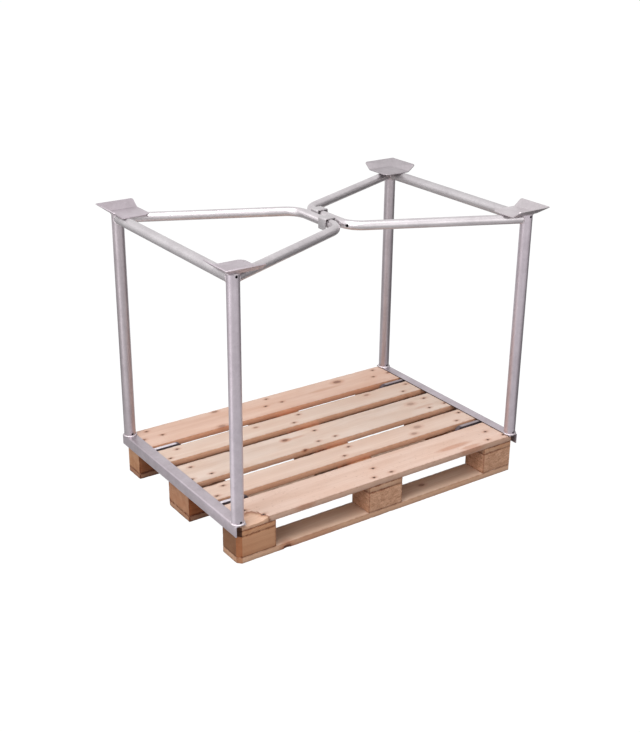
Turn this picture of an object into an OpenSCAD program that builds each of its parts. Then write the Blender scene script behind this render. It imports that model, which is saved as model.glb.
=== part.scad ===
// Pallet stacking frame: two identical hooked tube frames standing on a four-way wooden pallet.
// The origin is on the floor under the middle of the pallet: +X along its length, +Z up.

/* [Pallet] */
// Length of the pallet, along X
pallet_l = 1200; // [1000:10:1400]
// Width of the pallet, along Y
pallet_w = 800; // [760:10:1000]
// Width of the wide deck boards, the cross boards and the middle bottom board
wide_board_w = 145; // [120:1:150]
// Width of the two narrow deck boards
narrow_board_w = 100; // [80:1:120]
// Thickness of every board
board_t = 22; // [18:1:28]
// Height of the blocks
block_h = 78; // [60:1:100]
// Width of the outer blocks and of the bottom boards under them
outer_block_w = 100; // [80:1:120]
// Size of the cut across each of the pallet's four upright corners
corner_cut = 15; // [5:1:25]
// Width and depth of the chamfer along a bottom board's top edges
bottom_chamfer = 9; // [3:1:15]
// Length of board left square beside each block, where the chamfer ends
chamfer_setback = 30; // [10:5:60]

/* [Nails] */
// Diameter of a nail's shank
nail_d = 3.4; // [2.5:0.1:4.5]
// Diameter of a nail's head
nail_head_d = 7.5; // [6:0.5:9]
// Thickness of a nail's head
nail_head_t = 1.2; // [0.8:0.1:2]
// Length of a nail that reaches into a block
long_nail_l = 90; // [75:1:110]
// Length of a nail that only joins two boards
short_nail_l = 40; // [32:1:42]
// Distance of the outer nails from the middle of a crossing, along the pallet
nail_pitch = 38; // [25:1:42]
// Depth to which the heads are driven below the wood
nail_sink = 1; // [0.5:0.1:2]
// Gap round a driven head, where the wood is crushed
nail_dent_gap = 1; // [0.2:0.1:2]

/* [Base rail] */
// Width of each leg of the angle section
rail_leg_w = 40; // [30:1:60]
// Wall thickness of the angle section
rail_t = 4; // [3:0.5:6]
// Outer radius of the angle's fold
rail_fold_r = 6; // [5:0.5:10]
// Length by which a rail passes each side of the pallet
rail_overhang = 5; // [0:1:20]
// Gap between the pallet's end and the rail's hanging leg
rail_play = 7; // [3:1:15]

/* [Deck tongues] */
// Width of a tongue, a bar that hangs in a gap between two deck boards
tongue_w = 14; // [8:1:16]
// Height of a tongue
tongue_h = 18; // [10:1:20]
// Length of a tongue from the rail's hanging leg
tongue_l = 148; // [80:1:250]
// Length of the slope at a tongue's free end
tongue_slope_l = 14; // [2:1:20]
// Height of a tongue's upright end face, below the slope
tongue_end_h = 6; // [4:1:8]

/* [Uprights] */
// Outer diameter of an upright
upright_d = 42.4; // [38:0.1:50]
// Wall thickness of an upright
upright_t = 2.6; // [2:0.1:4]
// Height from the deck to the stacking plane on the corner plates
stack_h = 852; // [600:1:1200]
// Distance of an upright's axis from the end of the rail
upright_inset = 21.5; // [21:0.5:60]
// Diameter of the drain and vent holes through an upright
drain_d = 9; // [6:1:12]
// Height of the drain hole above the rail, and depth of the vent hole below the plate
drain_offset = 9; // [7:1:20]

/* [Top tubes] */
// Outer diameter of the short rail between two uprights
top_rail_d = 38; // [30:0.1:44]
// Outer diameter of the bent tube
bent_d = 33.7; // [26:0.1:40]
// Wall thickness of the top tubes
top_tube_t = 2.6; // [2:0.1:4]
// Bend radius on the axis of the bent tube
bend_r = 80; // [60:1:120]
// Half length of the straight middle of the bent tube
bent_mid_half = 74; // [73:1:110]
// Amount by which bending slims the tube's diameter
bend_slim = 0.3; // [0.2:0.05:1]
// Diameter of the vent hole in one bend
vent_d = 11; // [6:1:14]
// Angle of the vent hole round the bend, from the straight middle
vent_angle = 28; // [5:1:55]

/* [Coupling hooks] */
// Thickness of a hook's bar
hook_t = 4; // [3:0.5:5]
// Gap on each side between a hook and the tube it covers
hook_clear = 2.15; // [1:0.05:4]
// Gap between a hook's top and the tube it covers
hook_top_clear = 0.5; // [0.3:0.1:2]
// Length of a hook along the tube
hook_l = 40; // [20:1:60]
// Distance from the middle of the frame to a hook
hook_start = 32; // [5:1:33]
// Height of a hook
hook_h = 42; // [30:1:50]
// Outer radius of a hook's folds
hook_fold_r = 6; // [5.5:0.5:8]

/* [Corner plates] */
// Thickness of a corner plate
plate_t = 4; // [3:0.5:6]
// Side of a plate's flat seat
plate_flat = 107; // [90:1:150]
// Width of a lip, measured level
lip_reach = 31; // [15:1:60]
// Height of a lip above the flat seat
lip_rise = 24; // [10:1:60]
// Inner radius of the fold between the seat and a lip
lip_fold_r = 8; // [4:1:12]
// Radius of the plate's free corner
plate_corner_r = 24; // [4:1:30]
// Radius of the corner at a lip's free end
lip_corner_r = 9; // [4:1:14]

/* [Fits] */
// Gap left for a weld where one tube is shaped to another
weld_gap = 0.2; // [0.1:0.1:0.5]

/* [Hidden] */

tube_fn = 96;
small_fn = 32;
nudge = 1;

wood = [0.87, 0.77, 0.68];
block_wood = [0.72, 0.56, 0.44];
nail_steel = [0.35, 0.30, 0.28];
zinc = [0.75, 0.71, 0.73];
zinc_dull = [0.62, 0.60, 0.61];

// Levels of the pallet
cross_z = board_t + block_h;
deck_z = cross_z + board_t;
deck_top = deck_z + board_t;

// Places of the boards and blocks
cross_x = (pallet_l - wide_board_w) / 2;
outer_board_y = (pallet_w - wide_board_w) / 2;
deck_gap = (pallet_w - 3 * wide_board_w - 2 * narrow_board_w) / 4;
narrow_y = wide_board_w / 2 + deck_gap + narrow_board_w / 2;
tongue_y = narrow_y + narrow_board_w / 2 + deck_gap / 2;
outer_block_y = (pallet_w - outer_block_w) / 2;
nail_dent_d = nail_head_d + 2 * nail_dent_gap;
outer_nail_spread = outer_block_w * 0.28;
middle_nail_spread = wide_board_w * 0.28;
narrow_nail_spread = narrow_board_w * 0.25;
nail_point_l = 5;

// Places of the tube frames
rail_inner_x = pallet_l / 2 + rail_play;
rail_outer_x = rail_inner_x + rail_t;
rail_half_l = pallet_w / 2 + rail_overhang;
rail_top = deck_top + rail_t;
upright_x = rail_outer_x - rail_leg_w / 2;
upright_y = rail_half_l - upright_inset;
stack_z = deck_top + stack_h;
plate_z = stack_z - plate_t;
top_tube_z = plate_z - top_rail_d / 2 - weld_gap;
fold_x = upright_x + upright_d / 2;
fold_y = upright_y + upright_d / 2;

// Fold between a corner plate's seat and its lips
lip_angle = atan2(lip_rise, lip_reach);
lip_slope_l = sqrt(lip_reach * lip_reach + lip_rise * lip_rise);
fold_start = -lip_fold_r * tan(lip_angle / 2);
fold_steps = 6;
fold_lap = 20;
corner_bite = 0.3;

// The two bent tubes lie side by side, with one wall of a hook between them
tube_pair_half = (bent_d + hook_clear + hook_t + weld_gap) / 2;

// Each leg of the bent tube runs from an upright's axis and touches the bend's circle
bend_lap = 0.5;
leg_dx = upright_x - tube_pair_half - bend_r;
leg_dy = upright_y - bent_mid_half;
leg_l = sqrt(leg_dx * leg_dx + leg_dy * leg_dy - bend_r * bend_r);
bend_angle = atan2(leg_dx, leg_dy) + atan2(bend_r, leg_l);

// A flat board, centred in plan, with its underside at z
module board(length, width, x, y, z)
    translate([x - length / 2, y - width / 2, z])
        cube([length, width, board_t]);

// What is sawn off the pallet's four upright corners
module corner_cuts()
    for (x = [-1, 1], y = [-1, 1])
        translate([x * pallet_l / 2, y * pallet_w / 2, -nudge])
            linear_extrude(deck_top + 2 * nudge)
                polygon([[x * nudge, y * nudge],
                         [x * nudge, -y * (corner_cut + nudge)],
                         [-x * (corner_cut + nudge), y * nudge]]);

// Nail places at one crossing, as offsets from its middle
function three_nails(spread) = [[-nail_pitch, -spread], [0, spread], [nail_pitch, -spread]];
function two_nails(spread) = [[-nail_pitch * 0.7, -spread], [nail_pitch * 0.7, spread]];

// Children are repeated at every nail that reaches into a block
module at_block_nails()
    for (x = [-cross_x, 0, cross_x], row = [-1, 0, 1],
         place = three_nails(row == 0 ? middle_nail_spread : outer_nail_spread))
        translate([x + place[0], row * outer_block_y + place[1], 0])
            children();

// Children are repeated at every nail that only joins a narrow board to a cross board
module at_board_nails()
    for (x = [-cross_x, 0, cross_x], row = [-1, 1], place = two_nails(narrow_nail_spread))
        translate([x + place[0], row * narrow_y + place[1], 0])
            children();

// The dent that a driven head leaves in the wood
module nail_dent()
    translate([0, 0, -nail_sink])
        cylinder(d = nail_dent_d, h = nail_sink + nudge, $fn = small_fn);

// One nail, its head sunk below z = 0 and its point downwards
module nail(length)
    translate([0, 0, -nail_sink - nail_head_t]) {
        cylinder(d = nail_head_d, h = nail_head_t, $fn = small_fn);
        translate([0, 0, nail_head_t - length + nail_point_l])
            cylinder(d = nail_d, h = length - nail_point_l - nail_head_t / 2, $fn = small_fn);
        translate([0, 0, nail_head_t - length])
            cylinder(d1 = nail_d / 4, d2 = nail_d, h = nail_point_l, $fn = small_fn);
    }

module deck_board(width, y)
    color(wood)
        difference() {
            board(pallet_l, width, 0, y, deck_z);
            corner_cuts();
            translate([0, 0, deck_top]) {
                at_block_nails() nail_dent();
                at_board_nails() nail_dent();
            }
        }

module cross_board(x)
    color(wood)
        difference() {
            board(wide_board_w, pallet_w, x, 0, cross_z);
            corner_cuts();
        }

module block(x, y, width)
    color(block_wood)
        difference() {
            translate([x - wide_board_w / 2, y - width / 2, board_t])
                cube([wide_board_w, width, block_h]);
            corner_cuts();
        }

// The strip that a chamfer takes off a bottom board, between two blocks
module chamfer_cut(x, length)
    translate([x - length / 2, 0, board_t])
        rotate([90, 0, 90])
            linear_extrude(length)
                polygon([[-bottom_chamfer, nudge], [-bottom_chamfer, 0], [0, -bottom_chamfer],
                         [nudge, -bottom_chamfer], [nudge, nudge]]);

module bottom_board(width, y) {
    open_l = cross_x - wide_board_w - 2 * chamfer_setback;
    color(wood)
        difference() {
            board(pallet_l, width, 0, y, 0);
            corner_cuts();
            for (x = [-cross_x / 2, cross_x / 2], side = [0, 1])
                translate([0, y, 0])
                    mirror([0, side, 0])
                        translate([0, width / 2, 0])
                            chamfer_cut(x, open_l);
            rotate([180, 0, 0])
                at_block_nails() nail_dent();
        }
}

module deck_nails()
    color(nail_steel)
        translate([0, 0, deck_top]) {
            at_block_nails() nail(long_nail_l);
            at_board_nails() nail(short_nail_l);
        }

module bottom_nails()
    color(nail_steel)
        rotate([180, 0, 0])
            at_block_nails() nail(long_nail_l);

// Section of the folded angle: one leg lies over the deck, the other hangs outside it.
// Its outer corner is at [0, 0], its legs point to -X and -Y.
module angle_section() {
    inner_r = rail_fold_r - rail_t;
    translate([-rail_leg_w, -rail_t])
        square([rail_leg_w - rail_fold_r, rail_t]);
    translate([-rail_t, -rail_leg_w])
        square([rail_t, rail_leg_w - rail_fold_r]);
    intersection() {
        translate([-rail_fold_r, -rail_fold_r])
            difference() {
                circle(r = rail_fold_r, $fn = small_fn);
                circle(r = inner_r, $fn = small_fn);
            }
        translate([-rail_fold_r, -rail_fold_r])
            square(rail_fold_r);
    }
}

module base_rail()
    color(zinc_dull)
        translate([rail_outer_x, rail_half_l, rail_top])
            rotate([90, 0, 0])
                linear_extrude(2 * rail_half_l)
                    angle_section();

// Bar under the rail. Its top outer corner is cut off by the inner radius of the rail's bend.
module tongue(end) {
    corner = rail_fold_r - rail_t;
    color(zinc_dull)
        translate([rail_inner_x, end * tongue_y + tongue_w / 2, deck_top])
            rotate([90, 0, 0])
                linear_extrude(tongue_w)
                    polygon([[-corner, 0], [0, -corner], [0, -tongue_h], [-tongue_l, -tongue_h],
                             [-tongue_l, tongue_end_h - tongue_h],
                             [tongue_slope_l - tongue_l, 0]]);
}

// A hole drilled right through an upright, along Y
module drain_hole(z)
    translate([upright_x, 0, z])
        rotate([90, 0, 0])
            cylinder(d = drain_d, h = 2 * upright_y + 2 * upright_d, center = true, $fn = small_fn);

// An upright's outer face, with the weld gap round it, for shaping what meets it
module upright_space(end)
    translate([upright_x, end * upright_y, rail_top])
        cylinder(d = upright_d + 2 * weld_gap, h = stack_h, $fn = tube_fn);

module upright(end)
    color(zinc)
        difference() {
            translate([upright_x, end * upright_y, rail_top])
                difference() {
                    cylinder(d = upright_d, h = plate_z - rail_top, $fn = tube_fn);
                    translate([0, 0, -nudge])
                        cylinder(d = upright_d - 2 * upright_t, h = stack_h + nudge, $fn = tube_fn);
                }
            drain_hole(rail_top + drain_offset);
            drain_hole(plate_z - drain_offset);
        }

module top_rail_bar(diameter)
    translate([upright_x, 0, top_tube_z])
        rotate([90, 0, 0])
            cylinder(d = diameter, h = 2 * upright_y, center = true, $fn = tube_fn);

module top_rail()
    color(zinc)
        difference() {
            top_rail_bar(top_rail_d);
            top_rail_bar(top_rail_d - 2 * top_tube_t);
            for (end = [-1, 1]) upright_space(end);
        }

// Half of the bent tube as a solid bar: half the middle, one bend and one leg.
// The straight lengths lap a little into the slimmer bend.
module bent_bar_half(diameter) {
    translate([tube_pair_half, 0, 0])
        rotate([90, 0, 0])
            cylinder(d = diameter, h = bent_mid_half + bend_lap, $fn = tube_fn);
    translate([tube_pair_half + bend_r, -bent_mid_half, 0])
        rotate([0, 0, 180])
            rotate_extrude(angle = bend_angle, $fn = tube_fn)
                translate([bend_r, 0])
                    circle(d = diameter - bend_slim, $fn = tube_fn);
    translate([upright_x, -upright_y, 0])
        rotate([0, 0, 180 + bend_angle])
            rotate([90, 0, 0])
                cylinder(d = diameter, h = leg_l + bend_lap, $fn = tube_fn);
}

module bent_bar(diameter)
    for (side = [0, 1])
        mirror([0, side, 0])
            bent_bar_half(diameter);

// The vent hole goes through the outer wall of the front bend only
module bend_vent()
    translate([tube_pair_half + bend_r, -bent_mid_half, 0])
        rotate([0, 0, 180 + vent_angle])
            translate([bend_r, 0, 0])
                rotate([0, 90, 0])
                    cylinder(d = vent_d, h = bent_d, $fn = small_fn);

module bent_tube()
    color(zinc)
        difference() {
            translate([0, 0, top_tube_z])
                difference() {
                    bent_bar(bent_d);
                    bent_bar(bent_d - 2 * top_tube_t);
                    bend_vent();
                }
            for (end = [-1, 1]) upright_space(end);
            top_rail_bar(top_rail_d + 2 * weld_gap);
        }

// Rounded outline of a folded bar: a square with its two top corners turned
module hook_outline(width, height, r) {
    translate([-width / 2, -height])
        square([width, height - r]);
    translate([r - width / 2, -height])
        square([width - 2 * r, height]);
    for (x = [r - width / 2, width / 2 - r])
        translate([x, -r])
            circle(r = r, $fn = small_fn);
}

// The hook is welded to this frame's tube, and its open side covers the other frame's tube
module hook() {
    inner_w = bent_d + 2 * hook_clear;
    hook_top = top_tube_z + bent_d / 2 + hook_top_clear + hook_t;
    color(zinc)
        translate([-tube_pair_half, -hook_start, hook_top])
            rotate([90, 0, 0])
                linear_extrude(hook_l)
                    difference() {
                        hook_outline(inner_w + 2 * hook_t, hook_h, hook_fold_r);
                        translate([0, -hook_t])
                            hook_outline(inner_w, hook_h, hook_fold_r - hook_t);
                    }
}

// A point of the fold between seat and lip, at radius r and angle a from the seat
function fold_point(r, a) = [fold_start + r * sin(a), lip_fold_r - r * cos(a)];

// Section across a lip and the edge of the seat, with the fold's crest line at [0, 0]
module lip_section() {
    inner = [for (i = [0:fold_steps]) fold_point(lip_fold_r, lip_angle * i / fold_steps)];
    outer = [for (i = [fold_steps:-1:0])
             fold_point(lip_fold_r + plate_t, lip_angle * i / fold_steps)];
    tip = [lip_reach, lip_rise];
    tip_under = tip + plate_t * [sin(lip_angle), -cos(lip_angle)];
    polygon(concat([[-fold_lap, 0]], inner, [tip, tip_under], outer, [[-fold_lap, -plate_t]]));
}

// The piece cut off the corner at a lip's free end, square to the lip's face
module lip_corner_cut(width) {
    inset = lip_corner_r - corner_bite;
    rotate([0, -lip_angle, 0])
        translate([lip_slope_l - inset, inset - width, -2 * plate_t])
            linear_extrude(4 * plate_t)
                difference() {
                    translate([0, -lip_corner_r])
                        square(lip_corner_r);
                    circle(r = lip_corner_r, $fn = small_fn);
                }
}

// The two lips meet in a mitre over the plate's outer corner
module lip(width) {
    far = width + lip_reach + plate_t;
    difference() {
        intersection() {
            rotate([90, 0, 0])
                linear_extrude(2 * far, center = true)
                    lip_section();
            translate([0, 0, -2 * plate_t])
                linear_extrude(lip_rise + 4 * plate_t)
                    polygon([[-fold_lap, -fold_lap], [far, far], [far, -width], [-fold_lap, -width]]);
        }
        lip_corner_cut(width);
    }
}

// Corner plate of the corner at +X and +Y
module corner_plate_shape() {
    seat = plate_flat - fold_lap / 2;
    translate([fold_x, fold_y, stack_z]) {
        translate([-plate_flat, -plate_flat, -plate_t])
            linear_extrude(plate_t) {
                translate([plate_corner_r, 0])
                    square([seat - plate_corner_r, seat]);
                translate([0, plate_corner_r])
                    square([seat, seat - plate_corner_r]);
                translate([plate_corner_r, plate_corner_r])
                    circle(r = plate_corner_r, $fn = small_fn);
            }
        lip(plate_flat);
        mirror([1, -1, 0]) lip(plate_flat);
    }
}

module corner_plate(end)
    color(zinc_dull)
        mirror([0, end < 0 ? 1 : 0, 0])
            corner_plate_shape();

// The left frame is the right one turned half round
module left() rotate([0, 0, 180]) children();

deck_board(wide_board_w, -outer_board_y);  // deck_board_front
deck_board(narrow_board_w, -narrow_y);  // deck_board_front_inner
deck_board(wide_board_w, 0);  // deck_board_centre
deck_board(narrow_board_w, narrow_y);  // deck_board_back_inner
deck_board(wide_board_w, outer_board_y);  // deck_board_back
cross_board(-cross_x);  // cross_board_left
cross_board(0);  // cross_board_centre
cross_board(cross_x);  // cross_board_right
block(-cross_x, -outer_block_y, outer_block_w);  // block_front_left
block(0, -outer_block_y, outer_block_w);  // block_front_centre
block(cross_x, -outer_block_y, outer_block_w);  // block_front_right
block(-cross_x, 0, wide_board_w);  // block_middle_left
block(0, 0, wide_board_w);  // block_middle_centre
block(cross_x, 0, wide_board_w);  // block_middle_right
block(-cross_x, outer_block_y, outer_block_w);  // block_back_left
block(0, outer_block_y, outer_block_w);  // block_back_centre
block(cross_x, outer_block_y, outer_block_w);  // block_back_right
bottom_board(outer_block_w, -outer_block_y);  // bottom_board_front
bottom_board(wide_board_w, 0);  // bottom_board_centre
bottom_board(outer_block_w, outer_block_y);  // bottom_board_back
deck_nails();
bottom_nails();
left() base_rail();  // left_base_rail
left() upright(1);  // left_upright_front
left() upright(-1);  // left_upright_back
left() top_rail();  // left_top_rail
left() bent_tube();  // left_bent_tube
left() corner_plate(1);  // left_plate_front
left() corner_plate(-1);  // left_plate_back
left() hook();  // left_hook
left() tongue(1);  // left_tongue_front
left() tongue(-1);  // left_tongue_back
base_rail();  // right_base_rail
upright(-1);  // right_upright_front
upright(1);  // right_upright_back
top_rail();  // right_top_rail
bent_tube();  // right_bent_tube
corner_plate(-1);  // right_plate_front
corner_plate(1);  // right_plate_back
hook();  // right_hook
tongue(-1);  // right_tongue_front
tongue(1);  // right_tongue_back
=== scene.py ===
# Pallet stacking frame: two hooked tube frames standing on a four-way wooden pallet.
import math

import bpy
from mathutils import Matrix, Vector, noise


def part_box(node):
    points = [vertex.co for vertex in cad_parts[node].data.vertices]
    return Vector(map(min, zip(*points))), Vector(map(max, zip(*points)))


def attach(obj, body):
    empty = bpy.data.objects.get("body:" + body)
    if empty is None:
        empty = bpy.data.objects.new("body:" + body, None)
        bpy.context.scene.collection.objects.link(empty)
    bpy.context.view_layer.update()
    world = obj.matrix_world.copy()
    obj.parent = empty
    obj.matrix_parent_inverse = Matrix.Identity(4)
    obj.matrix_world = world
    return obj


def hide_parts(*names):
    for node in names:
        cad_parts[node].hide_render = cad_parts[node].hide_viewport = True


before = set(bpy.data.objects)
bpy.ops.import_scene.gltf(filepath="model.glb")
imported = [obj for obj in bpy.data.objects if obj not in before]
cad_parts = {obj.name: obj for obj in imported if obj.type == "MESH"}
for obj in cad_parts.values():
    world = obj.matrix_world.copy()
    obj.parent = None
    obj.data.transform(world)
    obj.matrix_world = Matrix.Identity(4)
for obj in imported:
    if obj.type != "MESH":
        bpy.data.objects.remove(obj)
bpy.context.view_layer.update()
bpy.ops.object.select_all(action="DESELECT")
scene = bpy.context.scene
scene.view_settings.view_transform = "Standard"


# Camera
# It looks down on the pallet's front left corner from about 4.5 m, as the photograph does. Its
# place, angles and lens put the pallet's corners and board ends where the photograph has them.
camera_place = Vector((-2.27616, -3.23910, 2.09680))
camera_turn = math.radians(35.01995)
camera_tilt = math.radians(22.95558)
camera_roll = math.radians(0.62499)
lens_mm = 58.311
sensor_mm = 36
upward = Vector((0, 0, 1))

look = Vector((math.sin(camera_turn) * math.cos(camera_tilt),
               math.cos(camera_turn) * math.cos(camera_tilt),
               -math.sin(camera_tilt)))
level_right = look.cross(upward).normalized()
level_up = level_right.cross(look)
right = math.cos(camera_roll) * level_right + math.sin(camera_roll) * level_up
up = math.cos(camera_roll) * level_up - math.sin(camera_roll) * level_right
bpy.ops.object.camera_add()
camera = bpy.context.object
camera.data.lens = lens_mm
camera.data.sensor_width = sensor_mm
camera.matrix_world = Matrix.Translation(camera_place) @ Matrix((right, up, -look)).transposed().to_4x4()
scene.camera = camera


# Studio
# A white floor and room that look white to the camera and in reflections, soft lamps from above
# and the left, and cards that give the round steel its bright line and its darker edges.
floor_size = 60
floor_grey = 0.30
floor_glow = 1.12
glow_share = 0.9
room_grey = 0.42
lamp_target = Vector((0, 0, 0.5))


def seen_directly(tree):
    """1 for a ray from the camera, a reflection or glass, and 0 for a ray that only carries light."""
    path = tree.nodes.new("ShaderNodeLightPath")
    total = path.outputs["Is Camera Ray"]
    for kind in ("Is Glossy Ray", "Is Transmission Ray"):
        larger = tree.nodes.new("ShaderNodeMath")
        larger.operation = "MAXIMUM"
        tree.links.new(total, larger.inputs[0])
        tree.links.new(path.outputs[kind], larger.inputs[1])
        total = larger.outputs[0]
    return total


world = bpy.data.worlds.new("studio_room")
scene.world = world
world.use_nodes = True
room = world.node_tree
room_colour = room.nodes.new("ShaderNodeMix")
room_colour.data_type = "RGBA"
room_colour.inputs["A"].default_value = (room_grey, room_grey, room_grey, 1)
room_colour.inputs["B"].default_value = (1, 1, 1, 1)
room.links.new(seen_directly(room), room_colour.inputs["Factor"])
room.links.new(room_colour.outputs["Result"], room.nodes["Background"].inputs["Color"])

bpy.ops.mesh.primitive_plane_add(size=floor_size)
floor = bpy.context.object
floor.name = "floor"
floor_paint = bpy.data.materials.new("floor_white")
floor_paint.use_nodes = True
paint = floor_paint.node_tree
matt = paint.nodes["Principled BSDF"]
matt.inputs["Base Color"].default_value = (floor_grey, floor_grey, floor_grey, 1)
matt.inputs["Roughness"].default_value = 0.9
matt.inputs["Specular IOR Level"].default_value = 0
white = paint.nodes.new("ShaderNodeEmission")
white.inputs["Strength"].default_value = floor_glow
share = paint.nodes.new("ShaderNodeMath")
share.operation = "MULTIPLY"
share.inputs[1].default_value = glow_share
blend = paint.nodes.new("ShaderNodeMixShader")
paint.links.new(seen_directly(paint), share.inputs[0])
paint.links.new(share.outputs[0], blend.inputs[0])
paint.links.new(matt.outputs[0], blend.inputs[1])
paint.links.new(white.outputs[0], blend.inputs[2])
paint.links.new(blend.outputs[0], paint.nodes["Material Output"].inputs["Surface"])
floor.data.materials.append(floor_paint)


def soft_lamp(name, place, size, watts):
    """A square lamp that shines at the middle of the object."""
    bpy.ops.object.light_add(type="AREA", location=place)
    lamp = bpy.context.object
    lamp.name = name
    lamp.data.size = size
    lamp.data.energy = watts
    aim = lamp_target - Vector(place)
    lamp.rotation_euler = aim.to_track_quat("-Z", "Y").to_euler()


soft_lamp("top_lamp", (-1.4, -0.9, 4.4), 2.6, 150)
soft_lamp("left_lamp", (-4.2, -1.8, 2.2), 2.0, 56)
soft_lamp("front_lamp", (-0.2, -5.0, 2.4), 3.0, 26)
soft_lamp("back_lamp", (-3.4, 3.6, 3.0), 2.6, 24)


def card(name, corners, light):
    """A glowing sheet with four corners that is seen only in the object's reflections."""
    bpy.ops.mesh.primitive_plane_add(size=2)
    sheet = bpy.context.object
    sheet.name = name
    for vertex, corner in zip(sheet.data.vertices, corners):
        vertex.co = corner
    sheet.visible_camera = False
    sheet.visible_diffuse = False
    sheet.visible_shadow = False
    sheet.visible_transmission = False
    cloth = bpy.data.materials.new(name + "_cloth")
    cloth.use_nodes = True
    weave = cloth.node_tree.nodes["Principled BSDF"]
    weave.inputs["Base Color"].default_value = (0, 0, 0, 1)
    weave.inputs["Roughness"].default_value = 1
    weave.inputs["Specular IOR Level"].default_value = 0
    weave.inputs["Emission Color"].default_value = (1, 1, 1, 1)
    weave.inputs["Emission Strength"].default_value = light
    sheet.data.materials.append(cloth)


card("floor_card", ((-3.6, -3.2, 0.001), (3.2, -3.2, 0.001), (-3.6, 3.0, 0.001), (3.2, 3.0, 0.001)), 0.66)
card("right_card", ((0.85, -1.5, 0.002), (4.4, -2.6, 0.002), (0.85, 0.3, 0.002), (4.4, 1.6, 0.002)), 0.16)
card("right_wall", ((4.4, -2.6, 0.0), (4.4, 1.6, 0.0), (4.4, -2.6, 2.2), (4.4, 1.6, 2.2)), 0.24)
card("far_card", ((-1.7, 0.9, 0.002), (-0.2, 0.75, 0.002), (-2.6, 3.0, 0.002), (0.0, 3.0, 0.002)), 0.36)
card("left_card",
     ((-3.4, -0.7, 0.002), (-1.6, -0.53, 0.002), (-3.4, 0.3, 0.002), (-1.6, 0.16, 0.002)), 1.7)
card("near_card",
     ((-1.6, -0.53, 0.002), (-0.8, -0.45, 0.002), (-1.6, 0.16, 0.002), (-0.8, 0.1, 0.002)), 1.1)
card("left_wall", ((-3.4, -0.7, 0.0), (-3.4, 0.3, 0.0), (-3.4, -0.7, 1.2), (-3.4, 0.3, 1.2)), 1.7)


# Bottom boards
# Three sawn softwood runners lie along the pallet, nailed under the blocks. Their edges are blunt
# and slightly chipped, and the pallet's upright corners are sawn off at 45 degrees.
runner_pitch = 0.014
edge_round = 0.0014
corner_cut = 0.015
chip_depth = 0.0009
chip_scale = 90
splinter_scale = 22
splinters_from = 0.36
pallet_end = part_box("deck_board_front")[1].x
pallet_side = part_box("deck_board_back")[1].y
notch_x = (-0.426, -0.396)
notch_depth = 0.005
notch_height = 0.011
timber_smooth = math.radians(32)


def pick(piece):
    """Makes a piece the only selected object."""
    bpy.ops.object.select_all(action="DESELECT")
    piece.select_set(True)
    bpy.context.view_layer.objects.active = piece


def pick_bare(piece):
    """Makes a piece the only selected object, with nothing selected in its mesh."""
    pick(piece)
    bpy.ops.object.mode_set(mode="EDIT")
    bpy.ops.mesh.select_mode(type="EDGE")
    bpy.ops.mesh.select_all(action="DESELECT")
    bpy.ops.object.mode_set(mode="OBJECT")


def cut_along(piece, axis, pitch, length):
    """Cuts all edges that run the whole way along an axis into lengths of about the pitch."""
    pick_bare(piece)
    corners = piece.data.vertices
    for edge in piece.data.edges:
        way = corners[edge.vertices[1]].co - corners[edge.vertices[0]].co
        edge.select = abs(way[axis]) > 0.8 * length and abs(way[axis]) > 0.99 * way.length
    bpy.ops.object.mode_set(mode="EDIT")
    bpy.ops.mesh.subdivide(number_cuts=max(1, round(length / pitch)))
    bpy.ops.object.mode_set(mode="OBJECT")


def sawn_timber(node, pitch):
    """A length of wood at the place of a CAD node, with rounded edges and a cut every pitch."""
    low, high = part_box(node)
    size = high - low
    bpy.ops.mesh.primitive_cube_add(size=1, location=(low + high) / 2)
    piece = bpy.context.object
    piece.name = node + "_timber"
    piece.scale = size
    bpy.ops.object.transform_apply(location=True, rotation=True, scale=True)
    bpy.ops.object.mode_set(mode="EDIT")
    bpy.ops.mesh.select_all(action="SELECT")
    bpy.ops.mesh.bevel(offset=edge_round, segments=2, affect="EDGES")
    bpy.ops.object.mode_set(mode="OBJECT")
    for axis in range(3):
        if size[axis] > 2 * pitch:
            cut_along(piece, axis, pitch, size[axis])
    return piece, low, high


def chip_edges(piece, low, high, seed):
    """Pulls the rounded edges in by an uneven amount, as fibres break away."""
    middle = (low + high) / 2
    for vertex in piece.data.vertices:
        spot = vertex.co.copy()
        gaps = [min(spot[axis] - low[axis], high[axis] - spot[axis]) for axis in range(3)]
        near = [gap < edge_round * 1.2 for gap in gaps]
        if sum(near) < 2:
            continue
        chip = noise.noise(spot * chip_scale + Vector((seed, 0, 0)))
        splinter = noise.noise(spot * splinter_scale + Vector((0, seed, 0)))
        bite = max(0.0, chip) * chip_depth
        bite += max(0.0, splinter - splinters_from) * 4 * chip_depth
        inward = [math.copysign(1, middle[axis] - spot[axis]) if near[axis] else 0 for axis in range(3)]
        vertex.co = spot + Vector(inward) * bite


def saw_corners(piece, low, high):
    """Saws off the pallet's upright corners where they fall on this piece."""
    for side_x in (-1, 1):
        for side_y in (-1, 1):
            corner = ((high if side_x > 0 else low).x, (high if side_y > 0 else low).y)
            at_end = abs(corner[0] - side_x * pallet_end) < 0.001
            at_side = abs(corner[1] - side_y * pallet_side) < 0.001
            if not (at_end and at_side):
                continue
            pick_bare(piece)
            bpy.ops.object.mode_set(mode="EDIT")
            bpy.ops.mesh.select_all(action="SELECT")
            bpy.ops.mesh.bisect(plane_co=(side_x * (pallet_end - corner_cut), side_y * pallet_side, 0),
                                plane_no=(side_x, side_y, 0), use_fill=True, clear_outer=True)
            bpy.ops.object.mode_set(mode="OBJECT")


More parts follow.
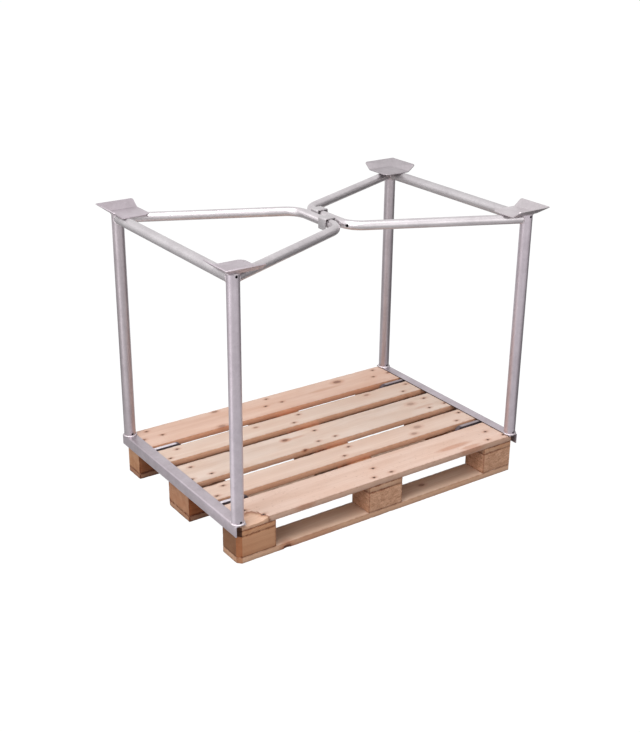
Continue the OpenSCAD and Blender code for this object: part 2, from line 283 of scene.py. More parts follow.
def cut_away(piece, cutter):
    """Takes the shape of a cutter out of a piece, and removes the cutter."""
    cut = piece.modifiers.new("cut", "BOOLEAN")
    cut.operation = "DIFFERENCE"
    cut.solver = "EXACT"
    cut.object = cutter
    pick(piece)
    bpy.ops.object.modifier_apply(modifier=cut.name)
    bpy.data.objects.remove(cutter)


def coat(piece, finish):
    """Gives a piece one finish in place of any that it had."""
    piece.data.materials.clear()
    piece.data.materials.append(finish.material)


def finish_timber(piece, node, wood):
    """Smooths the blunt edges, gives the wood, and puts the piece in the place of its CAD node."""
    pick_bare(piece)
    bpy.ops.object.shade_smooth_by_angle(angle=timber_smooth)
    coat(piece, wood)
    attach(piece, "pallet")
    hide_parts(node)


def tone(red, green, blue):
    """A colour given in bytes, as the linear colour that shaders take."""
    parts = [value / 255 for value in (red, green, blue)]
    return tuple(v / 12.92 if v <= 0.04045 else ((v + 0.055) / 1.055) ** 2.4 for v in parts) + (1,)


class Finish:
    """A material under construction, with short ways to add and link its nodes."""

    def __init__(self, name):
        self.material = bpy.data.materials.new(name)
        self.material.use_nodes = True
        self.tree = self.material.node_tree
        self.shader = self.tree.nodes["Principled BSDF"]
        coordinates = self.tree.nodes.new("ShaderNodeTexCoord")
        self.place = coordinates.outputs["Object"]
        self.facing = coordinates.outputs["Normal"]

    def add(self, kind, *sources, **settings):
        """A node whose first inputs are sockets or values, with some of its settings changed."""
        made = self.tree.nodes.new("ShaderNode" + kind)
        for key, value in settings.items():
            setattr(made, key, value)
        for slot, source in enumerate(sources):
            if isinstance(source, (int, float, tuple)):
                made.inputs[slot].default_value = source
            elif source is not None:
                self.tree.links.new(source, made.inputs[slot])
        return made

    def stretched(self, scale, shift=(0, 0, 0), source=None):
        """A place on the piece, or another vector, scaled and shifted."""
        made = self.add("Mapping", source or self.place)
        made.inputs["Scale"].default_value = scale
        made.inputs["Location"].default_value = shift
        return made.outputs[0]

    def noise(self, vector, scale, detail=2.0, roughness=0.5):
        made = self.add("TexNoise", vector)
        made.inputs["Scale"].default_value = scale
        made.inputs["Detail"].default_value = detail
        made.inputs["Roughness"].default_value = roughness
        return made.outputs["Fac"]

    def cells(self, vector, scale):
        """Crystals or chips, each with a grey of its own."""
        made = self.add("TexVoronoi", vector)
        made.inputs["Scale"].default_value = scale
        return self.add("RGBToBW", made.outputs["Color"]).outputs[0]

    def ramp(self, factor, stops):
        """The colour that a factor meets between the stops."""
        made = self.add("ValToRGB", factor)
        spots = made.color_ramp.elements
        while len(spots) < len(stops):
            spots.new(0.5)
        for spot, (at, colour) in zip(spots, stops):
            spot.position = at
            spot.color = colour
        return made.outputs["Color"]

    def levels(self, factor, low, high, out_low=0.0, out_high=1.0):
        """A factor moved from one range to another, and kept inside it."""
        ends = [float(end) for end in (low, high, out_low, out_high)]
        return self.add("MapRange", factor, *ends).outputs[0]

    def mix(self, factor, first, second, how="MIX"):
        made = self.add("Mix", data_type="RGBA", blend_type=how)
        for key, value in (("Factor", factor), ("A", first), ("B", second)):
            if isinstance(value, (float, int, tuple)):
                made.inputs[key].default_value = value
            else:
                self.tree.links.new(value, made.inputs[key])
        return made.outputs["Result"]

    def tint(self, surface, colour):
        return self.mix(1.0, surface, colour, "MULTIPLY")

    def stain(self, surface, share, colour):
        """The surface, with a share of it tinted by a colour."""
        return self.mix(share, surface, self.tint(surface, colour))

    def maths(self, how, first, second=0.0):
        return self.add("Math", first, second, operation=how).outputs[0]

    def vector(self, how, first, second=None):
        return self.add("VectorMath", first, second, operation=how).outputs[0]

    def split(self, vector):
        return self.add("SeparateXYZ", vector).outputs

    def bump(self, height, strength, distance):
        made = self.add("Bump")
        made.inputs["Strength"].default_value = strength
        made.inputs["Distance"].default_value = distance
        self.tree.links.new(height, made.inputs["Height"])
        self.tree.links.new(made.outputs[0], self.shader.inputs["Normal"])

    def colour(self, source):
        self.tree.links.new(source, self.shader.inputs["Base Color"])

    def roughness(self, source):
        self.tree.links.new(source, self.shader.inputs["Roughness"])

    def near_edges(self, low, high, reach):
        """1 on the edges of a box and 0 further from them than an uneven reach."""
        from_middle = self.vector("SUBTRACT", self.place, tuple((low + high) / 2))
        off_centre = self.vector("ABSOLUTE", from_middle)
        x, y, z = self.split(self.vector("SUBTRACT", tuple((high - low) / 2), off_centre))
        upright_edge = self.maths("MAXIMUM", x, y)
        long_edge = self.maths("MAXIMUM", y, z)
        cross_edge = self.maths("MAXIMUM", x, z)
        nearest = self.maths("MINIMUM", self.maths("MINIMUM", upright_edge, long_edge), cross_edge)
        uneven = self.levels(self.noise(self.place, 55, 3, 0.6), 0.3, 0.7, -0.5 * reach, 0.5 * reach)
        return self.levels(self.maths("ADD", nearest, uneven), reach, 0.0)


# Knot colours, also used for the spots of painted shade.
knot_and_shade_heart = tone(84, 46, 36)
knot_and_shade_ring = tone(190, 140, 116)
outer_edge = (0.82, 0.71, 0.62, 1)
# Painted bounce light on the board sides that face the deck's gaps.
gap_side_bounce_light = (1.14, 0.86, 0.68, 1)
plain_face = (1, 1, 1, 1)
sawn_end = (0.94, 0.85, 0.77, 1)
# Painted shade for the pallet's sawn-off corners.
corner_shade = (0.72, 0.55, 0.44, 1)
# Darker along the edges: partly dirt, partly painted shade.
edge_dirt_and_shade = (0.36, 0.21, 0.15, 1)
patch_brown = (0.95, 0.88, 0.83, 1)
streak_brown = (0.82, 0.68, 0.58, 1)
fibre_brown = (0.72, 0.62, 0.55, 1)
ring_brown = tone(176, 126, 94)
wood_sheen = 0.2
dirt_and_shade_reach = 0.006
ring_scale = 74
ring_sway = 0.02
heart_aside = 0.045
heart_below = 0.05
longest_knot = 3


def pine(name, along, low, high, seed, light, dark, knots_and_shade_spots=(), edge=outer_edge, patchy=0.5,
         face=plain_face, end_tint=sawn_end, dirt_and_shade=0.75, corner=corner_shade):
    """Sawn pine whose growth rings are arcs round a heart beside the board. The broad faces show
    them as wide bands with fine fibres, streaks, patches and knots, under a face tint that is
    painted shade on the cross boards. The sawn edges are browner, with a tint that is painted shade
    on the centre and back runners and the middle and back blocks, and painted bounce light on the
    deck's gap sides. The edges are darker, partly dirt and partly painted shade, and the pallet's cut
    corners are darkened as painted shade. Each knot, stain and spot of painted shade has a place, a
    size, a strength and a stretch."""
    wood = Finish(name)

    def grain_scale(along_scale, across_scale):
        scale = [across_scale] * 3
        scale[along] = along_scale
        return scale

    heart = (low + high) / 2
    heart[1 - along] += heart_aside * math.sin(seed * 2.3)
    heart.z -= heart_below + 0.02 * math.cos(seed * 1.7)
    bend = wood.noise(wood.stretched(grain_scale(1.3, 5.0), (seed, 0, 0)), 1.0, 2)
    sway = wood.add("CombineXYZ")
    for axis in range(3):
        if axis != along:
            wood.tree.links.new(wood.levels(bend, 0, 1, -ring_sway, ring_sway), sway.inputs[axis])
    from_heart = wood.vector("SUBTRACT", wood.vector("ADD", wood.place, sway.outputs[0]), tuple(heart))
    rings = wood.add("TexWave", wood.stretched(grain_scale(0.05, 1.0), source=from_heart),
                     wave_type="RINGS", rings_direction="XYZ"[along])
    rings.inputs["Scale"].default_value = ring_scale
    rings.inputs["Distortion"].default_value = 2.2
    rings.inputs["Detail"].default_value = 2
    rings.inputs["Detail Scale"].default_value = 0.5
    bands = wood.noise(wood.stretched(grain_scale(1.1, 30.0), (0, seed, 0)), 1.0, 3)
    fibres = wood.noise(wood.stretched(grain_scale(9.0, 520.0), (0, 0, seed)), 1.0, 2)
    patches = wood.noise(wood.stretched(grain_scale(6.0, 14.0), (seed, seed, 0)), 1.0, 3)
    streaks = wood.noise(wood.stretched(grain_scale(6.0, 130.0), (seed, 0, seed)), 1.0, 2, 0.6)

    surface = wood.mix(wood.levels(bands, 0.36, 0.68, 0.0, 0.6), light, dark)
    surface = wood.mix(wood.levels(rings.outputs["Fac"], 0.35, 1.0, 0.0, 0.24), surface, dark)
    surface = wood.stain(surface, wood.levels(patches, 0.4, 0.68, 0.0, patchy), patch_brown)
    surface = wood.stain(surface, wood.levels(streaks, 0.66, 0.78, 0.0, 0.4), streak_brown)
    surface = wood.stain(surface, wood.levels(fibres, 0.3, 0.7, 0.14, 0.0), fibre_brown)
    crumbs = wood.levels(wood.noise(wood.place, 170, 2), 0, 1, -0.22, 0.22)
    for spot, size, strength, stretch in knots_and_shade_spots:
        squeeze = tuple(grain_scale(1 / (size * stretch), 1 / size))
        away = wood.vector("MULTIPLY", wood.vector("SUBTRACT", wood.place, spot), squeeze)
        away = wood.add("VectorMath", away, operation="LENGTH").outputs["Value"]
        ragged = wood.maths("ADD", away, crumbs)
        surface = wood.mix(wood.levels(ragged, 1.9, 1.0, 0.0, 0.75 * strength), surface, knot_and_shade_ring)
        if stretch < longest_knot:
            surface = wood.mix(wood.levels(ragged, 1.0, 0.55, 0.0, 0.8 * strength), surface, knot_and_shade_heart)
    facing = wood.split(wood.facing)
    broad = wood.levels(wood.maths("ABSOLUTE", facing[2]), 0.35, 0.8)
    end_face = wood.levels(wood.maths("ABSOLUTE", facing[along]), 0.8, 0.95)
    across_both = wood.maths("ABSOLUTE", wood.maths("MULTIPLY", facing[0], facing[1]))
    arcs = wood.levels(rings.outputs["Fac"], 0.2, 0.9, 0.0, 0.6)
    end = wood.tint(wood.mix(arcs, surface, ring_brown), end_tint)
    # The edge tint is painted shade on the inner runners and blocks and painted bounce light on the
    # deck's gap sides; the face tint is painted shade on the cross boards.
    surface = wood.mix(broad, wood.tint(surface, edge), wood.tint(surface, face))
    surface = wood.mix(end_face, surface, end)
    # Darker near the edges, partly dirt and partly painted shade.
    edges = wood.maths("MULTIPLY", wood.near_edges(low, high, dirt_and_shade_reach), dirt_and_shade)
    surface = wood.stain(surface, edges, edge_dirt_and_shade)
    # Painted shade on the pallet's sawn-off corners, which lie under the rail.
    surface = wood.stain(surface, wood.levels(across_both, 0.40, 0.48), corner)
    wood.colour(surface)
    wood.roughness(wood.levels(fibres, 0.3, 0.7, 0.84, 0.7))
    wood.shader.inputs["Specular IOR Level"].default_value = wood_sheen
    saw_marks = wood.noise(wood.stretched(grain_scale(160.0, 0.5), (seed, 0, 0)), 1.0, 1)
    fibre_height = wood.maths("MULTIPLY", fibres, 0.8)
    saw_height = wood.maths("MULTIPLY", saw_marks, 0.35)
    wood.bump(wood.maths("ADD", fibre_height, saw_height), 0.4, 0.0009)
    return wood


runner_light = tone(222, 194, 174)
runner_dark = tone(202, 164, 138)
# The side tints of the centre and back runners are painted shade under the pallet; the front runner's is
# its own colour.
runner_side_shading = {"front": (0.96, 0.83, 0.73, 1), "centre": (0.62, 0.44, 0.36, 1),
                "back": (0.60, 0.42, 0.34, 1)}
runner_ends = {"front": sawn_end, "centre": (0.80, 0.66, 0.56, 1), "back": (0.66, 0.50, 0.42, 1)}
runner_dirt_and_shade = {"front": 0.4, "centre": 1.0, "back": 1.0}
# The second front spot is painted shade in the notch cut into that runner's edge.
runner_knots_and_shade = {
    "front": (((0.2105, -0.3413, 0.022), 0.010, 0.6, 1.6), ((-0.411, -0.396, 0.003), 0.017, 1.0, 1.3),
              ((-0.300, -0.400, 0.012), 0.007, 0.6, 9.0)),
    "centre": (((-0.320, 0.020, 0.022), 0.010, 0.6, 1.6),),
    "back": (((0.150, 0.360, 0.022), 0.010, 0.7, 1.6),),
}
for number, name in enumerate(("front", "centre", "back")):
    node = "bottom_board_" + name
    piece, low, high = sawn_timber(node, runner_pitch)
    chip_edges(piece, low, high, 10 + number)
    saw_corners(piece, low, high)
    if name == "front":
        bpy.ops.mesh.primitive_cylinder_add(vertices=7, radius=1, depth=1,
                                            location=(sum(notch_x) / 2, low.y, low.z))
        wedge = bpy.context.object
        wedge.scale = ((notch_x[1] - notch_x[0]) / 2, notch_depth, 2 * notch_height)
        bpy.ops.object.transform_apply(location=True, rotation=True, scale=True)
        cut_away(piece, wedge)
    wood = pine("runner_pine_" + name, 0, low, high, 3.0 + number, runner_light, runner_dark,
                knots_and_shade_spots=runner_knots_and_shade[name], edge=runner_side_shading[name], end_tint=runner_ends[name],
                dirt_and_shade=runner_dirt_and_shade[name])
    finish_timber(piece, node, wood)


# Blocks
# Nine spacers are nailed between the runners and the cross boards. Some are solid pine with strong
# orange grain, and the others are pressed from wood chips and glue.
block_pitch = 0.012
chip_scales = (70, 260)
chip_dirt_and_shade_reach = 0.005
pore_brown = tone(104, 70, 50)
chip_grey = (0.86, 0.80, 0.76, 1)


def chip_block(name, low, high, seed, light, dark):
    """Pressed wood: flat chips of many tones, with dark glue and pores between them."""
    wood = Finish(name)
    warp = wood.noise(wood.place, 60, 2)
    loose = wood.vector("ADD", wood.place, (seed, seed * 0.3, 0))
    flat = wood.stretched((1.0, 1.0, 2.2), source=loose)
    coarse, fine = [wood.maths("MULTIPLY", wood.cells(flat, scale), 0.5) for scale in chip_scales]
    mixed = wood.maths("ADD", coarse, fine)
    surface = wood.ramp(mixed, [(0.1, dark), (0.85, light)])
    pores = wood.levels(wood.noise(wood.place, 210, 3, 0.6), 0.60, 0.70, 0.0, 0.75)
    surface = wood.mix(pores, surface, pore_brown)
    patches = wood.levels(wood.noise(wood.place, 16, 2), 0.35, 0.7, 0.0, 0.5)
    surface = wood.stain(surface, patches, chip_grey)
    # Darker near the edges, partly dirt and partly painted shade.
    edges = wood.maths("MULTIPLY", wood.near_edges(low, high, chip_dirt_and_shade_reach), 0.7)
    wood.colour(wood.stain(surface, edges, edge_dirt_and_shade))
    wood.shader.inputs["Roughness"].default_value = 0.86
    wood.shader.inputs["Specular IOR Level"].default_value = wood_sheen
    wood.bump(wood.maths("ADD", mixed, wood.maths("MULTIPLY", warp, 0.6)), 0.4, 0.0012)
    return wood


solid_light = tone(208, 162, 128)
solid_dark = tone(168, 110, 74)
pressed_light = tone(226, 180, 150)
pressed_dark = tone(178, 128, 98)
block_ends = {"block_front_left": (0.50, 0.46, 0.43, 1), "block_middle_left": (0.98, 0.96, 1.00, 1),
              "block_back_left": (1.05, 1.06, 1.06, 1)}
# The side tints of the middle and back blocks are painted shade under the deck; the front blocks' is
# their own colour.
block_side_shading = {"front": (0.97, 0.91, 0.88, 1), "middle": (0.70, 0.42, 0.26, 1),
               "back": (0.68, 0.47, 0.35, 1)}
pressed_blocks = ("block_front_centre", "block_front_right", "block_middle_centre", "block_back_right")
for row, name_y in enumerate(("front", "middle", "back")):
    for column, name_x in enumerate(("left", "centre", "right")):
        node = "block_%s_%s" % (name_y, name_x)
        seed = 7.0 + 1.3 * row + column
        piece, low, high = sawn_timber(node, block_pitch)
        chip_edges(piece, low, high, 20 + 3 * row + column)
        saw_corners(piece, low, high)
        if node in pressed_blocks:
            wood = chip_block("pressed_wood_%d%d" % (row, column), low, high, seed,
                              pressed_light, pressed_dark)
        else:
            wood = pine("block_pine_%d%d" % (row, column), 0, low, high, seed, solid_light, solid_dark,
                        edge=block_side_shading[name_y], patchy=0.9, end_tint=block_ends.get(node, sawn_end))
        finish_timber(piece, node, wood)


# Cross boards
# Three boards lie across the pallet on the blocks, and the deck is nailed through them. Their tops
# show in the gaps and carry painted shade: nearly black on the outer two, and a paler brown on the
# centre one with darker spots of painted shadow where the gaps show it.
cross_pitch = 0.02
# Painted shade: the tint of the cross boards' tops, which show only in the gaps under the deck.
painted_shade_face = (0.15, 0.10, 0.08, 1)
shaded_corner = (0.16, 0.11, 0.09, 1)
cross_face_shades = {"left": painted_shade_face, "centre": (0.62, 0.42, 0.30, 1), "right": painted_shade_face}
# Dark spots of painted shadow on the centre cross board, one where each gap shows it.
gap_shadow_spots = [((-0.048, y, 0.122), 0.030, 1.0, 1.2) for y in (-0.234, -0.093, 0.093, 0.234)]
cross_ends = {"left": (1.0, 0.78, 0.60, 1), "centre": sawn_end, "right": (0.98, 0.84, 0.72, 1)}
for column, name in enumerate(("left", "centre", "right")):
    node = "cross_board_" + name
    piece, low, high = sawn_timber(node, cross_pitch)
    chip_edges(piece, low, high, 30 + column)
    saw_corners(piece, low, high)
    wood = pine("cross_pine_" + name, 1, low, high, 5.0 + column, runner_light, runner_dark,
                knots_and_shade_spots=gap_shadow_spots if name == "centre" else (), patchy=0.8, face=cross_face_shades[name],
                end_tint=cross_ends[name], dirt_and_shade=0.9, corner=shaded_corner)
    finish_timber(piece, node, wood)


# Deck boards
# Five boards of pale sawn pine run along the pallet, nailed down with sunken heads. The front board
# was cut near the bark, so its front edge falls away at the left end.
deck_pitch = 0.012
dent_round = 0.0048
dent_depth = 0.001
nail_head = 0.009
wane_fade = -0.515
wane_end = -0.474
wane_width = 0.066
wane_drop = 0.0105
stain_size = 0.0075
bark_tones = ((0.10, (1, 1, 1, 1)), (0.16, (0.46, 0.30, 0.23, 1)), (0.34, (1.0, 0.88, 0.76, 1)),
              (0.62, (1.06, 0.98, 0.88, 1)), (0.95, (1.05, 0.95, 0.84, 1)))
front_edge = (0.88, 0.79, 0.72, 1)
deck_woods = {
    "front": ((225, 198, 184), (211, 180, 163), 0.6, front_edge),
    "front_inner": ((224, 200, 186), (209, 180, 163), 0.5, gap_side_bounce_light),
    "centre": ((222, 203, 191), (202, 178, 163), 0.9, gap_side_bounce_light),
    "back_inner": ((222, 202, 189), (208, 178, 160), 0.6, gap_side_bounce_light),
    "back": ((224, 194, 178), (210, 172, 153), 0.8, gap_side_bounce_light),
}
deck_knots = {
    "front": (((0.345, -0.352, 0.144), 0.009, 0.9, 6.0), ((0.400, -0.384, 0.144), 0.006, 0.8, 5.0),
              ((-0.341, -0.400, 0.136), 0.006, 0.8, 4.5), ((0.395, -0.400, 0.136), 0.008, 0.9, 5.0)),
    "front_inner": (((0.339, -0.150, 0.144), 0.013, 0.45, 1.6),
                    ((0.294, -0.187, 0.144), 0.010, 0.5, 1.6)),
    "centre": (((-0.137, 0.032, 0.144), 0.0105, 0.95, 1.5), ((0.448, 0.026, 0.144), 0.014, 0.45, 1.4),
               ((-0.095, 0.028, 0.144), 0.005, 0.6, 6.0), ((0.480, -0.020, 0.144), 0.006, 0.5, 5.0),
               ((-0.118, -0.070, 0.142), 0.006, 0.9, 1.8)),
    "back_inner": (((0.355, 0.190, 0.144), 0.008, 0.55, 1.6), ((-0.170, 0.183, 0.144), 0.007, 0.6, 1.6)),
    "back": (((0.332, 0.360, 0.144), 0.014, 0.75, 1.6), ((-0.269, 0.264, 0.144), 0.012, 0.5, 1.6),
             ((-0.229, 0.388, 0.144), 0.010, 0.6, 1.6), ((0.250, 0.330, 0.144), 0.007, 0.5, 8.0)),
}


def smooth_step(value, low, high):
    """0 up to low and 1 from high on, with a smooth passage between them."""
    part = min(1.0, max(0.0, (value - low) / (high - low)))
    return part * part * (3 - 2 * part)


def let_fall(piece, low, high):
    """Lowers the board's top face towards its front edge where bark was left on the log, and
    notes how far each point fell."""
    fallen = piece.data.attributes.new("fallen", "FLOAT", "POINT")
    for vertex in piece.data.vertices:
        spot = vertex.co
        reach = 1 - smooth_step(spot.x, wane_fade, wane_end)
        wavy = 1 + 0.22 * noise.noise(Vector((spot.x * 18, 3, 0)))
        width = wane_width * reach * wavy
        if width < 0.002:
            continue
        near_front = min(1.0, max(0.0, (low.y + width - spot.y) / width))
        height = (spot.z - low.z) / (high.z - low.z)
        fall = wane_drop * reach * near_front ** 1.5 * (1 + 0.25 * noise.noise(spot * 45))
        spot.z -= fall * height
        fallen.data[vertex.index].value = fall / wane_drop


def dent(piece, low, high):
    """Presses a dent into a deck board round each driven nail head that it holds, and lists a rust
    stain for each."""
    level = high.z - dent_depth
    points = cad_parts["deck_nails"].data.vertices
    spots = [point.co.copy() for point in points if abs(point.co.z - level) < 0.0003]
    heads = []
    for spot in spots:
        for head in heads:
            if (head[0] - spot).length < nail_head:
                head.append(spot)
                break
        else:
            heads.append([spot])
    stains = []
    for head in heads:
        ends = [(min(v[axis] for v in head), max(v[axis] for v in head)) for axis in range(3)]
        middle = Vector([(least + most) / 2 for least, most in ends])
        if not (low.x < middle.x < high.x and low.y < middle.y < high.y):
            continue
        bpy.ops.mesh.primitive_cone_add(vertices=18, radius1=dent_round, radius2=dent_round * 1.3,
                                        depth=2 * dent_depth,
                                        location=(middle.x, middle.y, middle.z + dent_depth))
        cut_away(piece, bpy.context.object)
        stains.append((tuple(middle), stain_size, 0.5, 1.6))
    return stains


def bark_side(wood):
    """Colours the fallen part of a board: a dark reddish line where it begins, and pale tan below."""
    board_colour = wood.shader.inputs["Base Color"].links[0].from_socket
    fallen = wood.add("Attribute", attribute_name="fallen").outputs["Fac"]
    ragged = wood.add("Math", wood.noise(wood.place, 90), 0.16, fallen, operation="MULTIPLY_ADD")
    wood.colour(wood.tint(board_colour, wood.ramp(ragged.outputs[0], bark_tones)))


for number, (name, (light, dark, patchy, edge)) in enumerate(deck_woods.items()):
    node = "deck_board_" + name
    piece, low, high = sawn_timber(node, deck_pitch)
    chip_edges(piece, low, high, 40 + number)
    if name == "front":
        let_fall(piece, low, high)
    saw_corners(piece, low, high)
    stains = dent(piece, low, high)
    wood = pine("deck_pine_" + name, 0, low, high, 11.0 + 1.7 * number, tone(*light), tone(*dark),
                knots_and_shade_spots=list(deck_knots[name]) + stains, edge=edge, patchy=patchy, dirt_and_shade=0.3,
                corner=shaded_corner)
    if name == "front":
        bark_side(wood)
    finish_timber(piece, node, wood)


# Nails
# Ring nails of plain steel. The longer ones are driven from above and from below into the blocks,
# and the short ones hold the narrow deck boards. Their heads have begun to rust.
rust_dark = tone(64, 48, 42)
rust_light = tone(116, 92, 80)
rust = Finish("nail_rust")
rust.colour(rust.ramp(rust.noise(rust.place, 300, 3), [(0.35, rust_dark), (0.7, rust_light)]))
rust.shader.inputs["Metallic"].default_value = 0.5
rust.roughness(rust.levels(rust.noise(rust.place, 500, 2), 0.3, 0.7, 0.5, 0.75))
for node in ("deck_nails", "bottom_nails"):
    coat(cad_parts[node], rust)


# Base rails
# A folded steel angle lies over each end of the deck, one leg on the boards and one hanging down.
# The whole tube frame is dipped in zinc after welding, which leaves a satin skin.
sheet_edge = 0.0007
sharp_angle = math.radians(35)
metal_smooth = math.radians(30)
rail_light = tone(190, 180, 187)
rail_dark = tone(172, 162, 168)
# Painted shade on the rail's inner edge face.
edge_shade_grey = tone(96, 84, 82)
cloud_grey = (0.86, 0.84, 0.85, 1)


def galvanised(name, light, dark, polish, seed, metal, cut_edge=None):
    """Hot-dip zinc: faint crystals, cloudy grey patches and a slightly lumpy skin. The faces that
    look along the pallet within 1 mm of a cut edge are painted dark as shade."""
    zinc = Finish(name)
    crystals = zinc.cells(zinc.stretched((1, 1, 1), (seed, 0, 0)), 120)
    clouds = zinc.noise(zinc.stretched((1, 1, 1), (0, seed, 0)), 11, 4, 0.6)
    both = zinc.maths("ADD", zinc.maths("MULTIPLY", crystals, 0.14), zinc.maths("MULTIPLY", clouds, 0.86))
    surface = zinc.ramp(both, [(0.32, dark), (0.66, light)])
    runs = zinc.noise(zinc.stretched((1, 1, 0.35), (seed, 0, 2)), 7, 3)
    surface = zinc.stain(surface, zinc.levels(runs, 0.58, 0.75, 0.0, 0.35), cloud_grey)
    if cut_edge:
        looks_along = zinc.levels(zinc.maths("ABSOLUTE", zinc.split(zinc.facing)[0]), 0.5, 0.8)
        away = zinc.maths("ABSOLUTE", zinc.split(zinc.place)[0])
        at_edge = zinc.levels(away, cut_edge + 0.002, cut_edge + 0.001)
        surface = zinc.mix(zinc.maths("MULTIPLY", looks_along, at_edge), surface, edge_shade_grey)
    zinc.colour(surface)
    zinc.shader.inputs["Metallic"].default_value = metal
    zinc.roughness(zinc.levels(both, 0.3, 0.7, polish + 0.05, polish - 0.04))
    zinc.bump(zinc.noise(zinc.place, 30, 2), 0.06, 0.002)
    return zinc


def dress(node, body, zinc, edge):
    """Puts a copy of a CAD solid in its place, with triangles joined and cut edges softened."""
    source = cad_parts[node]
    piece = bpy.data.objects.new(node + "_galvanised", source.data.copy())
    scene.collection.objects.link(piece)
    pick_bare(piece)
    bpy.ops.mesh.customdata_custom_splitnormals_clear()
    bpy.ops.object.mode_set(mode="EDIT")
    bpy.ops.mesh.select_all(action="SELECT")
    bpy.ops.mesh.remove_doubles(threshold=0.00001)
    bpy.ops.mesh.dissolve_limited(angle_limit=math.radians(0.5))
    bpy.ops.object.mode_set(mode="OBJECT")
    coat(piece, zinc)
    soften = piece.modifiers.new("soften", "BEVEL")
    soften.width = edge
    soften.segments = 2
    soften.limit_method = "ANGLE"
    soften.angle_limit = sharp_angle
    bpy.ops.object.modifier_apply(modifier=soften.name)
    bpy.ops.object.shade_smooth_by_angle(angle=metal_smooth)
    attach(piece, body)
    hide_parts(node)


sides = ("left", "right")
base_zinc = galvanised("base_zinc", rail_light, rail_dark, 0.44, 3.0, 0.85,
                       cut_edge=-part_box("left_base_rail")[1].x)
for side in sides:
    dress(side + "_base_rail", side + "_frame", base_zinc, sheet_edge)


# Tongues
# Two steel bars welded under each rail hang in the gaps between deck boards and keep the frame in
# place. Their tops are bright on the left frame and carry painted shade on the right one, and their
# sides and tips are painted dark as shade.
tongue_edge = 0.0010
top_dark = tone(206, 198, 206)
top_light = tone(228, 221, 228)
# Painted shade on the tops of the right frame's tongues.
top_shade = tone(150, 138, 142)
# Painted shade on the tongues' sides and tips.
tongue_shade_grey = tone(84, 72, 78)
tongue_tip = -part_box("left_tongue_front")[1].x
tip_shade_to = tongue_tip + 0.018
bright_from = tongue_tip + 0.026
tongue_zinc = Finish("tongue_zinc")
sideways = tongue_zinc.levels(tongue_zinc.split(tongue_zinc.facing)[2], 0.9, 0.5)
tongue_x = tongue_zinc.split(tongue_zinc.place)[0]
near_tip = tongue_zinc.levels(tongue_zinc.maths("ABSOLUTE", tongue_x), bright_from, tip_shade_to)
clouds = tongue_zinc.noise(tongue_zinc.place, 20, 3)
bright = tongue_zinc.ramp(clouds, [(0.35, top_dark), (0.65, top_light)])
top_face = tongue_zinc.mix(tongue_zinc.levels(tongue_x, -0.1, 0.1), bright, top_shade)
shade_mask = tongue_zinc.maths("MAXIMUM", sideways, near_tip)
tongue_zinc.colour(tongue_zinc.mix(shade_mask, top_face, tongue_shade_grey))
tongue_zinc.shader.inputs["Metallic"].default_value = 0.3
tongue_zinc.shader.inputs["Roughness"].default_value = 0.55
for side in sides:
    for end in ("front", "back"):
        dress("%s_tongue_%s" % (side, end), side + "_frame", tongue_zinc, tongue_edge)


# Tubes
# The uprights, the short top rails and the bent tubes are steel tube with drain and vent holes,
# cut to fit each other and welded. Their CAD solids keep their shape. The zinc is brightest on the
# bent tubes and the front uprights, and the back uprights take a darker copy of it as painted shade.
tube_zinc = galvanised("tube_zinc", tone(208, 202, 205), tone(190, 184, 187), 0.38, 0.0, 0.95)
dull_zinc = galvanised("dull_zinc", tone(194, 190, 192), tone(178, 173, 176), 0.52, 2.0, 0.85)
# A darker copy of the zinc for the back uprights, as painted shade.
shaded_zinc = galvanised("shaded_zinc", tone(190, 181, 186), tone(172, 163, 168), 0.38, 8.0, 0.95)
upright_zinc = galvanised("upright_zinc", tone(208, 198, 206), tone(189, 179, 187), 0.38, 0.0, 0.95)
tube_zincs = {"upright_front": upright_zinc, "upright_back": shaded_zinc, "top_rail": dull_zinc,
              "bent_tube": tube_zinc}
for side in sides:
    for part, zinc in tube_zincs.items():
        coat(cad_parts["%s_%s" % (side, part)], zinc)


# Corner plates
# Each upright carries a flat plate with two flared lips, which takes the corner of the next
# pallet. The plates are cut and folded from steel sheet and welded on.
plate_zinc = galvanised("plate_zinc", rail_light, rail_dark, 0.44, 3.0, 0.85)
# A lighter copy as painted light for the right front plate, and a darker copy as painted shade for the
# right back plate.
lit_sheet = galvanised("lit_sheet", tone(206, 199, 202), tone(188, 180, 184), 0.44, 5.0, 0.85)
shaded_sheet = galvanised("shaded_sheet", tone(178, 171, 175), tone(162, 155, 159), 0.46, 4.0, 0.85)
plate_zincs = {"left_plate_front": plate_zinc, "left_plate_back": plate_zinc,
               "right_plate_front": lit_sheet, "right_plate_back": shaded_sheet}
for node, zinc in plate_zincs.items():
    dress(node, node.split("_")[0] + "_frame", zinc, sheet_edge)


# Hooks
# A strap of steel folded over each bent tube is welded to it near its middle. It hooks over the
# other frame's bent tube, so that the two frames hold each other up.
for side in sides:
    dress(side + "_hook", side + "_frame", dull_zinc, sheet_edge)


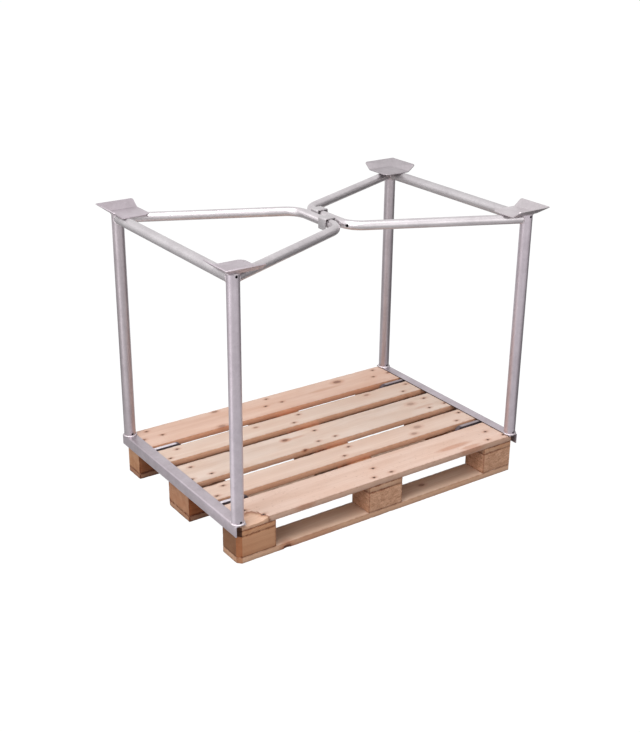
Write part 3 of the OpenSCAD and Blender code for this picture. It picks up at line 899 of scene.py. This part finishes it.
# Weld beads
# Runs of weld metal join the tubes to each other, to the rails and to the plates. They have the
# ripples of a hand weld, and are dipped with the rest.
bead_zinc = galvanised("bead_zinc", tone(216, 208, 212), tone(180, 170, 175), 0.34, 6.0, 0.85)
upright_low, upright_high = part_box("right_upright_back")
upright_round = (upright_high.x - upright_low.x) / 2
upright_x = (upright_high.x + upright_low.x) / 2
upright_y = (upright_high.y + upright_low.y) / 2
rail_low, rail_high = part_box("right_top_rail")
rail_round = (rail_high.x - rail_low.x) / 2
tube_level = (rail_high.z + rail_low.z) / 2
bent_low, bent_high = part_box("right_bent_tube")
bent_round = (bent_high.z - bent_low.z) / 2
leg_turn = math.radians(65.70)
base_bead = 0.0032
joint_bead = 0.0023
bead_level = 0.0008
foot_room = 0.0006
head_room = 0.0004
ring_steps = 168
ring_sides = 10
ring_round = 0.2
ripple_share = 0.13
lump_share = 0.16


def bead(name, body, run, thickness, ripples, seed):
    """A closed, rippled run of weld metal along the points that run gives for each angle."""
    bpy.ops.mesh.primitive_torus_add(major_segments=ring_steps, minor_segments=ring_sides,
                                     major_radius=1, minor_radius=ring_round)
    piece = bpy.context.object
    piece.name = name
    for vertex in piece.data.vertices:
        angle = math.atan2(vertex.co.y, vertex.co.x)
        out = (math.hypot(vertex.co.x, vertex.co.y) - 1) / ring_round
        high = vertex.co.z / ring_round
        middle, outward, over = run(angle)
        lump = noise.noise(Vector((math.cos(angle), math.sin(angle), seed)) * 3)
        wave = 1 + ripple_share * math.sin(ripples * angle) + lump_share * lump
        vertex.co = middle + (outward * out + over * high) * thickness * wave
    pick_bare(piece)
    bpy.ops.object.mode_set(mode="EDIT")
    bpy.ops.mesh.select_all(action="SELECT")
    bpy.ops.mesh.normals_make_consistent(inside=False)
    bpy.ops.object.mode_set(mode="OBJECT")
    bpy.ops.object.shade_smooth()
    coat(piece, bead_zinc)
    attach(piece, body)


def ring_run(centre, radius):
    """A run that goes round in a level circle."""

    def run(angle):
        outward = Vector((math.cos(angle), math.sin(angle), 0))
        return centre + outward * radius, outward, upward
    return run


def saddle_run(start, along, radius, stops):
    """A run along the line where a tube that starts inside others comes out of the last of them."""
    level = along.cross(upward).normalized()

    def run(angle):
        outward = level * math.sin(angle) + upward * math.cos(angle)
        edge = start + outward * radius
        far = 0
        for stop_middle, stop_along, stop_radius in stops:
            flat_edge = (edge - stop_middle) - stop_along * (edge - stop_middle).dot(stop_along)
            flat_way = along - stop_along * along.dot(stop_along)
            a = flat_way.dot(flat_way)
            b = 2 * flat_edge.dot(flat_way)
            c = flat_edge.dot(flat_edge) - stop_radius ** 2
            inside = b * b - 4 * a * c
            if inside > 0:
                far = max(far, (-b + math.sqrt(inside)) / (2 * a))
        return edge + along * far, outward, along
    return run


for side in sides:
    turn = Matrix.Rotation(0 if side == "right" else math.pi, 3, "Z")
    body = side + "_frame"
    for end, sign in (("front", -1), ("back", 1)):
        axis = turn @ Vector((upright_x, sign * upright_y, 0))
        name = "%s_%s" % (side, end)
        foot = axis + Vector((0, 0, upright_low.z + bead_level))
        head = axis + Vector((0, 0, upright_high.z - bead_level))
        foot_run = ring_run(foot, upright_round + foot_room)
        bead(name + "_foot_bead", body, foot_run, base_bead, 46, 1.0 + sign)
        head_run = ring_run(head, upright_round + head_room)
        bead(name + "_head_bead", body, head_run, joint_bead, 50, 4.0 + sign)
        start = turn @ Vector((upright_x, sign * upright_y, tube_level))
        rail_way = turn @ Vector((0, -sign, 0))
        leg_way = turn @ Vector((-math.sin(leg_turn), -sign * math.cos(leg_turn), 0))
        post = (start, upward, upright_round)
        cross_rail = (start, rail_way, rail_round)
        rail_run = saddle_run(start, rail_way, rail_round, (post,))
        bead(name + "_rail_bead", body, rail_run, joint_bead, 44, 7.0 + sign)
        leg_run = saddle_run(start, leg_way, bent_round, (post, cross_rail))
        bead(name + "_leg_bead", body, leg_run, joint_bead, 40, 9.0 + sign)
